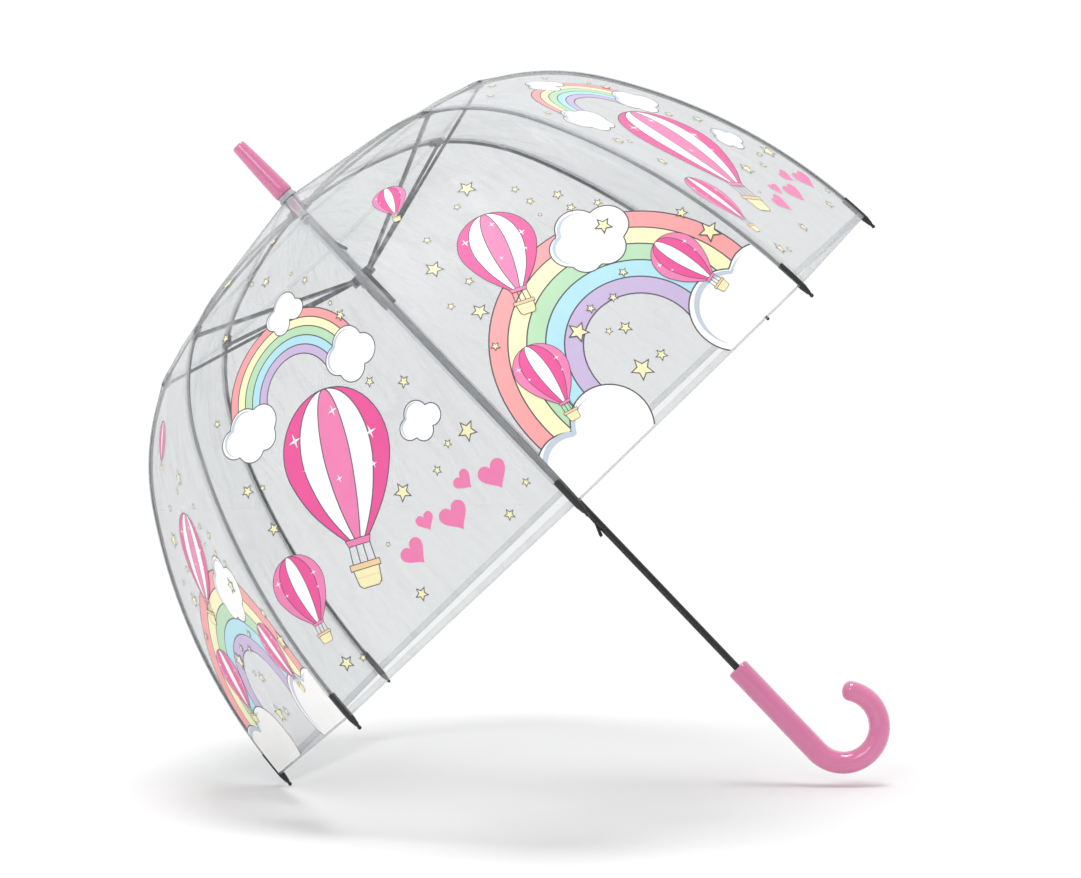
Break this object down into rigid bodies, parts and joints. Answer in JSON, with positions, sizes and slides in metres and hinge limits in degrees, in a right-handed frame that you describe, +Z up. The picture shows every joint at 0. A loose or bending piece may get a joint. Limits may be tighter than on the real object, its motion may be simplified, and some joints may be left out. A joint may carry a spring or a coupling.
{
  "type": "children's dome umbrella",
  "caption": "Transparent dome umbrella for a child, with a printed film canopy, black wire ribs, a sliding runner and a pink crook handle.",
  "frame": {"origin": "on the shaft axis, at the middle of the straight grip", "axes": "+Z up along the shaft towards the ferrule, +X towards the open side of the hook, +Y to the left of someone who looks along +X"},
  "size_m": [0.601, 0.601, 0.6557],
  "materials": {
    "clear_film": "gloss",
    "steel_black": "satin",
    "black_plastic": "gloss",
    "pink_gloss": "gloss",
    "zinc": "satin"
  },
  "bodies": {
    "shaft_assembly": {"shaft": "steel_black", "handle": "pink_gloss", "ferrule": "pink_gloss", "top_collar": "zinc", "crown": "black_plastic", "crown_wire": "zinc", "upper_stop": "steel_black"},
    "runner": {"runner": "black_plastic", "runner_wire": "zinc"},
    "upper_catch": {"upper_catch": "steel_black"},
    "lower_catch": {"lower_catch": "steel_black"},
    "rib_inner_1": {"rib_inner_1": "steel_black"},
    "rib_outer_1": {"rib_outer_1": "steel_black", "tip_1": "black_plastic"},
    "strut_1": {"strut_1": "steel_black"},
    "rib_inner_2": {"rib_inner_2": "steel_black"},
    "rib_outer_2": {"rib_outer_2": "steel_black", "tip_2": "black_plastic"},
    "strut_2": {"strut_2": "steel_black"},
    "rib_inner_3": {"rib_inner_3": "steel_black"},
    "rib_outer_3": {"rib_outer_3": "steel_black", "tip_3": "black_plastic"},
    "strut_3": {"strut_3": "steel_black"},
    "rib_inner_4": {"rib_inner_4": "steel_black"},
    "rib_outer_4": {"rib_outer_4": "steel_black", "tip_4": "black_plastic"},
    "strut_4": {"strut_4": "steel_black"},
    "rib_inner_5": {"rib_inner_5": "steel_black"},
    "rib_outer_5": {"rib_outer_5": "steel_black", "tip_5": "black_plastic"},
    "strut_5": {"strut_5": "steel_black"},
    "rib_inner_6": {"rib_inner_6": "steel_black"},
    "rib_outer_6": {"rib_outer_6": "steel_black", "tip_6": "black_plastic"},
    "strut_6": {"strut_6": "steel_black"},
    "rib_inner_7": {"rib_inner_7": "steel_black"},
    "rib_outer_7": {"rib_outer_7": "steel_black", "tip_7": "black_plastic"},
    "strut_7": {"strut_7": "steel_black"},
    "rib_inner_8": {"rib_inner_8": "steel_black"},
    "rib_outer_8": {"rib_outer_8": "steel_black", "tip_8": "black_plastic"},
    "strut_8": {"strut_8": "steel_black"},
    "panel_upper_1": {"panel_upper_1": "clear_film"},
    "panel_lower_1": {"panel_lower_1": "clear_film"},
    "panel_upper_2": {"panel_upper_2": "clear_film"},
    "panel_lower_2": {"panel_lower_2": "clear_film"},
    "panel_upper_3": {"panel_upper_3": "clear_film"},
    "panel_lower_3": {"panel_lower_3": "clear_film"},
    "panel_upper_4": {"panel_upper_4": "clear_film"},
    "panel_lower_4": {"panel_lower_4": "clear_film"},
    "panel_upper_5": {"panel_upper_5": "clear_film"},
    "panel_lower_5": {"panel_lower_5": "clear_film"},
    "panel_upper_6": {"panel_upper_6": "clear_film"},
    "panel_lower_6": {"panel_lower_6": "clear_film"},
    "panel_upper_7": {"panel_upper_7": "clear_film"},
    "panel_lower_7": {"panel_lower_7": "clear_film"},
    "panel_upper_8": {"panel_upper_8": "clear_film"},
    "panel_lower_8": {"panel_lower_8": "clear_film"}
  },
  "joints": [
    {"name": "runner_slide", "type": "slide", "parent": "shaft_assembly", "child": "runner", "axis": [0, 0, -1], "range_m": [0, 0.2447]},
    {"name": "rib_1_crown_hinge", "type": "hinge", "parent": "shaft_assembly", "child": "rib_inner_1", "pos_m": [0.008, 0, 0.5112], "axis": [0, 1, 0], "range_deg": [0, 74.67]},
    {"name": "rib_1_mid_hinge", "type": "hinge", "parent": "rib_inner_1", "child": "rib_outer_1", "pos_m": [0.16092, 0, 0.48605], "axis": [0, 1, 0], "range_deg": [-47.36, 0]},
    {"name": "strut_1_hinge", "type": "hinge", "parent": "rib_inner_1", "child": "strut_1", "pos_m": [0.16092, 0, 0.48605], "axis": [0, 1, 0], "range_deg": [-143.43, 0]},
    {"name": "rib_2_crown_hinge", "type": "hinge", "parent": "shaft_assembly", "child": "rib_inner_2", "pos_m": [0.00566, 0.00566, 0.5112], "axis": [-0.7071, 0.7071, 0], "range_deg": [0, 74.67]},
    {"name": "rib_2_mid_hinge", "type": "hinge", "parent": "rib_inner_2", "child": "rib_outer_2", "pos_m": [0.11379, 0.11379, 0.48605], "axis": [-0.7071, 0.7071, 0], "range_deg": [-47.36, 0]},
    {"name": "strut_2_hinge", "type": "hinge", "parent": "rib_inner_2", "child": "strut_2", "pos_m": [0.11379, 0.11379, 0.48605], "axis": [-0.7071, 0.7071, 0], "range_deg": [-143.43, 0]},
    {"name": "rib_3_crown_hinge", "type": "hinge", "parent": "shaft_assembly", "child": "rib_inner_3", "pos_m": [0, 0.008, 0.5112], "axis": [-1, 0, 0], "range_deg": [0, 74.67]},
    {"name": "rib_3_mid_hinge", "type": "hinge", "parent": "rib_inner_3", "child": "rib_outer_3", "pos_m": [0, 0.16092, 0.48605], "axis": [-1, 0, 0], "range_deg": [-47.36, 0]},
    {"name": "strut_3_hinge", "type": "hinge", "parent": "rib_inner_3", "child": "strut_3", "pos_m": [0, 0.16092, 0.48605], "axis": [-1, 0, 0], "range_deg": [-143.43, 0]},
    {"name": "rib_4_crown_hinge", "type": "hinge", "parent": "shaft_assembly", "child": "rib_inner_4", "pos_m": [-0.00566, 0.00566, 0.5112], "axis": [-0.7071, -0.7071, 0], "range_deg": [0, 74.67]},
    {"name": "rib_4_mid_hinge", "type": "hinge", "parent": "rib_inner_4", "child": "rib_outer_4", "pos_m": [-0.11379, 0.11379, 0.48605], "axis": [-0.7071, -0.7071, 0], "range_deg": [-47.36, 0]},
    {"name": "strut_4_hinge", "type": "hinge", "parent": "rib_inner_4", "child": "strut_4", "pos_m": [-0.11379, 0.11379, 0.48605], "axis": [-0.7071, -0.7071, 0], "range_deg": [-143.43, 0]},
    {"name": "rib_5_crown_hinge", "type": "hinge", "parent": "shaft_assembly", "child": "rib_inner_5", "pos_m": [-0.008, 0, 0.5112], "axis": [0, -1, 0], "range_deg": [0, 74.67]},
    {"name": "rib_5_mid_hinge", "type": "hinge", "parent": "rib_inner_5", "child": "rib_outer_5", "pos_m": [-0.16092, 0, 0.48605], "axis": [0, -1, 0], "range_deg": [-47.36, 0]},
    {"name": "strut_5_hinge", "type": "hinge", "parent": "rib_inner_5", "child": "strut_5", "pos_m": [-0.16092, 0, 0.48605], "axis": [0, -1, 0], "range_deg": [-143.43, 0]},
    {"name": "rib_6_crown_hinge", "type": "hinge", "parent": "shaft_assembly", "child": "rib_inner_6", "pos_m": [-0.00566, -0.00566, 0.5112], "axis": [0.7071, -0.7071, 0], "range_deg": [0, 74.67]},
    {"name": "rib_6_mid_hinge", "type": "hinge", "parent": "rib_inner_6", "child": "rib_outer_6", "pos_m": [-0.11379, -0.11379, 0.48605], "axis": [0.7071, -0.7071, 0], "range_deg": [-47.36, 0]},
    {"name": "strut_6_hinge", "type": "hinge", "parent": "rib_inner_6", "child": "strut_6", "pos_m": [-0.11379, -0.11379, 0.48605], "axis": [0.7071, -0.7071, 0], "range_deg": [-143.43, 0]},
    {"name": "rib_7_crown_hinge", "type": "hinge", "parent": "shaft_assembly", "child": "rib_inner_7", "pos_m": [0, -0.008, 0.5112], "axis": [1, 0, 0], "range_deg": [0, 74.67]},
    {"name": "rib_7_mid_hinge", "type": "hinge", "parent": "rib_inner_7", "child": "rib_outer_7", "pos_m": [0, -0.16092, 0.48605], "axis": [1, 0, 0], "range_deg": [-47.36, 0]},
    {"name": "strut_7_hinge", "type": "hinge", "parent": "rib_inner_7", "child": "strut_7", "pos_m": [0, -0.16092, 0.48605], "axis": [1, 0, 0], "range_deg": [-143.43, 0]},
    {"name": "rib_8_crown_hinge", "type": "hinge", "parent": "shaft_assembly", "child": "rib_inner_8", "pos_m": [0.00566, -0.00566, 0.5112], "axis": [0.7071, 0.7071, 0], "range_deg": [0, 74.67]},
    {"name": "rib_8_mid_hinge", "type": "hinge", "parent": "rib_inner_8", "child": "rib_outer_8", "pos_m": [0.11379, -0.11379, 0.48605], "axis": [0.7071, 0.7071, 0], "range_deg": [-47.36, 0]},
    {"name": "strut_8_hinge", "type": "hinge", "parent": "rib_inner_8", "child": "strut_8", "pos_m": [0.11379, -0.11379, 0.48605], "axis": [0.7071, 0.7071, 0], "range_deg": [-143.43, 0]},
    {"name": "panel_1_crown_fold", "type": "hinge", "parent": "shaft_assembly", "child": "panel_upper_1", "pos_m": [0.00683, 0.00283, 0.5112], "axis": [-0.3827, 0.9239, 0], "range_deg": [0, 74.67], "deforming": ["panel_upper_1"]},
    {"name": "panel_1_mid_fold", "type": "hinge", "parent": "panel_upper_1", "child": "panel_lower_1", "pos_m": [0.13736, 0.0569, 0.48605], "axis": [-0.3827, 0.9239, 0], "range_deg": [-47.36, 0], "deforming": ["panel_lower_1"]},
    {"name": "panel_2_crown_fold", "type": "hinge", "parent": "shaft_assembly", "child": "panel_upper_2", "pos_m": [0.00283, 0.00683, 0.5112], "axis": [-0.9239, 0.3827, 0], "range_deg": [0, 74.67], "deforming": ["panel_upper_2"]},
    {"name": "panel_2_mid_fold", "type": "hinge", "parent": "panel_upper_2", "child": "panel_lower_2", "pos_m": [0.0569, 0.13736, 0.48605], "axis": [-0.9239, 0.3827, 0], "range_deg": [-47.36, 0], "deforming": ["panel_lower_2"]},
    {"name": "panel_3_crown_fold", "type": "hinge", "parent": "shaft_assembly", "child": "panel_upper_3", "pos_m": [-0.00283, 0.00683, 0.5112], "axis": [-0.9239, -0.3827, 0], "range_deg": [0, 74.67], "deforming": ["panel_upper_3"]},
    {"name": "panel_3_mid_fold", "type": "hinge", "parent": "panel_upper_3", "child": "panel_lower_3", "pos_m": [-0.0569, 0.13736, 0.48605], "axis": [-0.9239, -0.3827, 0], "range_deg": [-47.36, 0], "deforming": ["panel_lower_3"]},
    {"name": "panel_4_crown_fold", "type": "hinge", "parent": "shaft_assembly", "child": "panel_upper_4", "pos_m": [-0.00683, 0.00283, 0.5112], "axis": [-0.3827, -0.9239, 0], "range_deg": [0, 74.67], "deforming": ["panel_upper_4"]},
    {"name": "panel_4_mid_fold", "type": "hinge", "parent": "panel_upper_4", "child": "panel_lower_4", "pos_m": [-0.13736, 0.0569, 0.48605], "axis": [-0.3827, -0.9239, 0], "range_deg": [-47.36, 0], "deforming": ["panel_lower_4"]},
    {"name": "panel_5_crown_fold", "type": "hinge", "parent": "shaft_assembly", "child": "panel_upper_5", "pos_m": [-0.00683, -0.00283, 0.5112], "axis": [0.3827, -0.9239, 0], "range_deg": [0, 74.67], "deforming": ["panel_upper_5"]},
    {"name": "panel_5_mid_fold", "type": "hinge", "parent": "panel_upper_5", "child": "panel_lower_5", "pos_m": [-0.13736, -0.0569, 0.48605], "axis": [0.3827, -0.9239, 0], "range_deg": [-47.36, 0], "deforming": ["panel_lower_5"]},
    {"name": "panel_6_crown_fold", "type": "hinge", "parent": "shaft_assembly", "child": "panel_upper_6", "pos_m": [-0.00283, -0.00683, 0.5112], "axis": [0.9239, -0.3827, 0], "range_deg": [0, 74.67], "deforming": ["panel_upper_6"]},
    {"name": "panel_6_mid_fold", "type": "hinge", "parent": "panel_upper_6", "child": "panel_lower_6", "pos_m": [-0.0569, -0.13736, 0.48605], "axis": [0.9239, -0.3827, 0], "range_deg": [-47.36, 0], "deforming": ["panel_lower_6"]},
    {"name": "panel_7_crown_fold", "type": "hinge", "parent": "shaft_assembly", "child": "panel_upper_7", "pos_m": [0.00283, -0.00683, 0.5112], "axis": [0.9239, 0.3827, 0], "range_deg": [0, 74.67], "deforming": ["panel_upper_7"]},
    {"name": "panel_7_mid_fold", "type": "hinge", "parent": "panel_upper_7", "child": "panel_lower_7", "pos_m": [0.0569, -0.13736, 0.48605], "axis": [0.9239, 0.3827, 0], "range_deg": [-47.36, 0], "deforming": ["panel_lower_7"]},
    {"name": "panel_8_crown_fold", "type": "hinge", "parent": "shaft_assembly", "child": "panel_upper_8", "pos_m": [0.00683, -0.00283, 0.5112], "axis": [0.3827, 0.9239, 0], "range_deg": [0, 74.67], "deforming": ["panel_upper_8"]},
    {"name": "panel_8_mid_fold", "type": "hinge", "parent": "panel_upper_8", "child": "panel_lower_8", "pos_m": [0.13736, -0.0569, 0.48605], "axis": [0.3827, 0.9239, 0], "range_deg": [-47.36, 0], "deforming": ["panel_lower_8"]},
    {"name": "upper_catch_press", "type": "hinge", "parent": "shaft_assembly", "child": "upper_catch", "pos_m": [-0.00125, -0.00052, 0.4279], "axis": [0.3827, -0.9239, 0], "range_deg": [-24, 0], "stiffness_Nm_per_rad": 0.02},
    {"name": "lower_catch_press", "type": "hinge", "parent": "shaft_assembly", "child": "lower_catch", "pos_m": [-0.00125, -0.00052, 0.1934], "axis": [0.3827, -0.9239, 0], "range_deg": [0, 24], "stiffness_Nm_per_rad": 0.02}
  ],
  "couplings": [
    {"joint": "rib_1_crown_hinge", "follows": "runner_slide", "rad_per_m": 5.3251},
    {"joint": "rib_1_mid_hinge", "follows": "runner_slide", "rad_per_m": -3.3776},
    {"joint": "strut_1_hinge", "follows": "runner_slide", "rad_per_m": -10.23},
    {"joint": "rib_2_crown_hinge", "follows": "runner_slide", "rad_per_m": 5.3251},
    {"joint": "rib_2_mid_hinge", "follows": "runner_slide", "rad_per_m": -3.3776},
    {"joint": "strut_2_hinge", "follows": "runner_slide", "rad_per_m": -10.23},
    {"joint": "rib_3_crown_hinge", "follows": "runner_slide", "rad_per_m": 5.3251},
    {"joint": "rib_3_mid_hinge", "follows": "runner_slide", "rad_per_m": -3.3776},
    {"joint": "strut_3_hinge", "follows": "runner_slide", "rad_per_m": -10.23},
    {"joint": "rib_4_crown_hinge", "follows": "runner_slide", "rad_per_m": 5.3251},
    {"joint": "rib_4_mid_hinge", "follows": "runner_slide", "rad_per_m": -3.3776},
    {"joint": "strut_4_hinge", "follows": "runner_slide", "rad_per_m": -10.23},
    {"joint": "rib_5_crown_hinge", "follows": "runner_slide", "rad_per_m": 5.3251},
    {"joint": "rib_5_mid_hinge", "follows": "runner_slide", "rad_per_m": -3.3776},
    {"joint": "strut_5_hinge", "follows": "runner_slide", "rad_per_m": -10.23},
    {"joint": "rib_6_crown_hinge", "follows": "runner_slide", "rad_per_m": 5.3251},
    {"joint": "rib_6_mid_hinge", "follows": "runner_slide", "rad_per_m": -3.3776},
    {"joint": "strut_6_hinge", "follows": "runner_slide", "rad_per_m": -10.23},
    {"joint": "rib_7_crown_hinge", "follows": "runner_slide", "rad_per_m": 5.3251},
    {"joint": "rib_7_mid_hinge", "follows": "runner_slide", "rad_per_m": -3.3776},
    {"joint": "strut_7_hinge", "follows": "runner_slide", "rad_per_m": -10.23},
    {"joint": "rib_8_crown_hinge", "follows": "runner_slide", "rad_per_m": 5.3251},
    {"joint": "rib_8_mid_hinge", "follows": "runner_slide", "rad_per_m": -3.3776},
    {"joint": "strut_8_hinge", "follows": "runner_slide", "rad_per_m": -10.23},
    {"joint": "panel_1_crown_fold", "follows": "runner_slide", "rad_per_m": 5.3251},
    {"joint": "panel_1_mid_fold", "follows": "runner_slide", "rad_per_m": -3.3776},
    {"joint": "panel_2_crown_fold", "follows": "runner_slide", "rad_per_m": 5.3251},
    {"joint": "panel_2_mid_fold", "follows": "runner_slide", "rad_per_m": -3.3776},
    {"joint": "panel_3_crown_fold", "follows": "runner_slide", "rad_per_m": 5.3251},
    {"joint": "panel_3_mid_fold", "follows": "runner_slide", "rad_per_m": -3.3776},
    {"joint": "panel_4_crown_fold", "follows": "runner_slide", "rad_per_m": 5.3251},
    {"joint": "panel_4_mid_fold", "follows": "runner_slide", "rad_per_m": -3.3776},
    {"joint": "panel_5_crown_fold", "follows": "runner_slide", "rad_per_m": 5.3251},
    {"joint": "panel_5_mid_fold", "follows": "runner_slide", "rad_per_m": -3.3776},
    {"joint": "panel_6_crown_fold", "follows": "runner_slide", "rad_per_m": 5.3251},
    {"joint": "panel_6_mid_fold", "follows": "runner_slide", "rad_per_m": -3.3776},
    {"joint": "panel_7_crown_fold", "follows": "runner_slide", "rad_per_m": 5.3251},
    {"joint": "panel_7_mid_fold", "follows": "runner_slide", "rad_per_m": -3.3776},
    {"joint": "panel_8_crown_fold", "follows": "runner_slide", "rad_per_m": 5.3251},
    {"joint": "panel_8_mid_fold", "follows": "runner_slide", "rad_per_m": -3.3776}
  ]
}
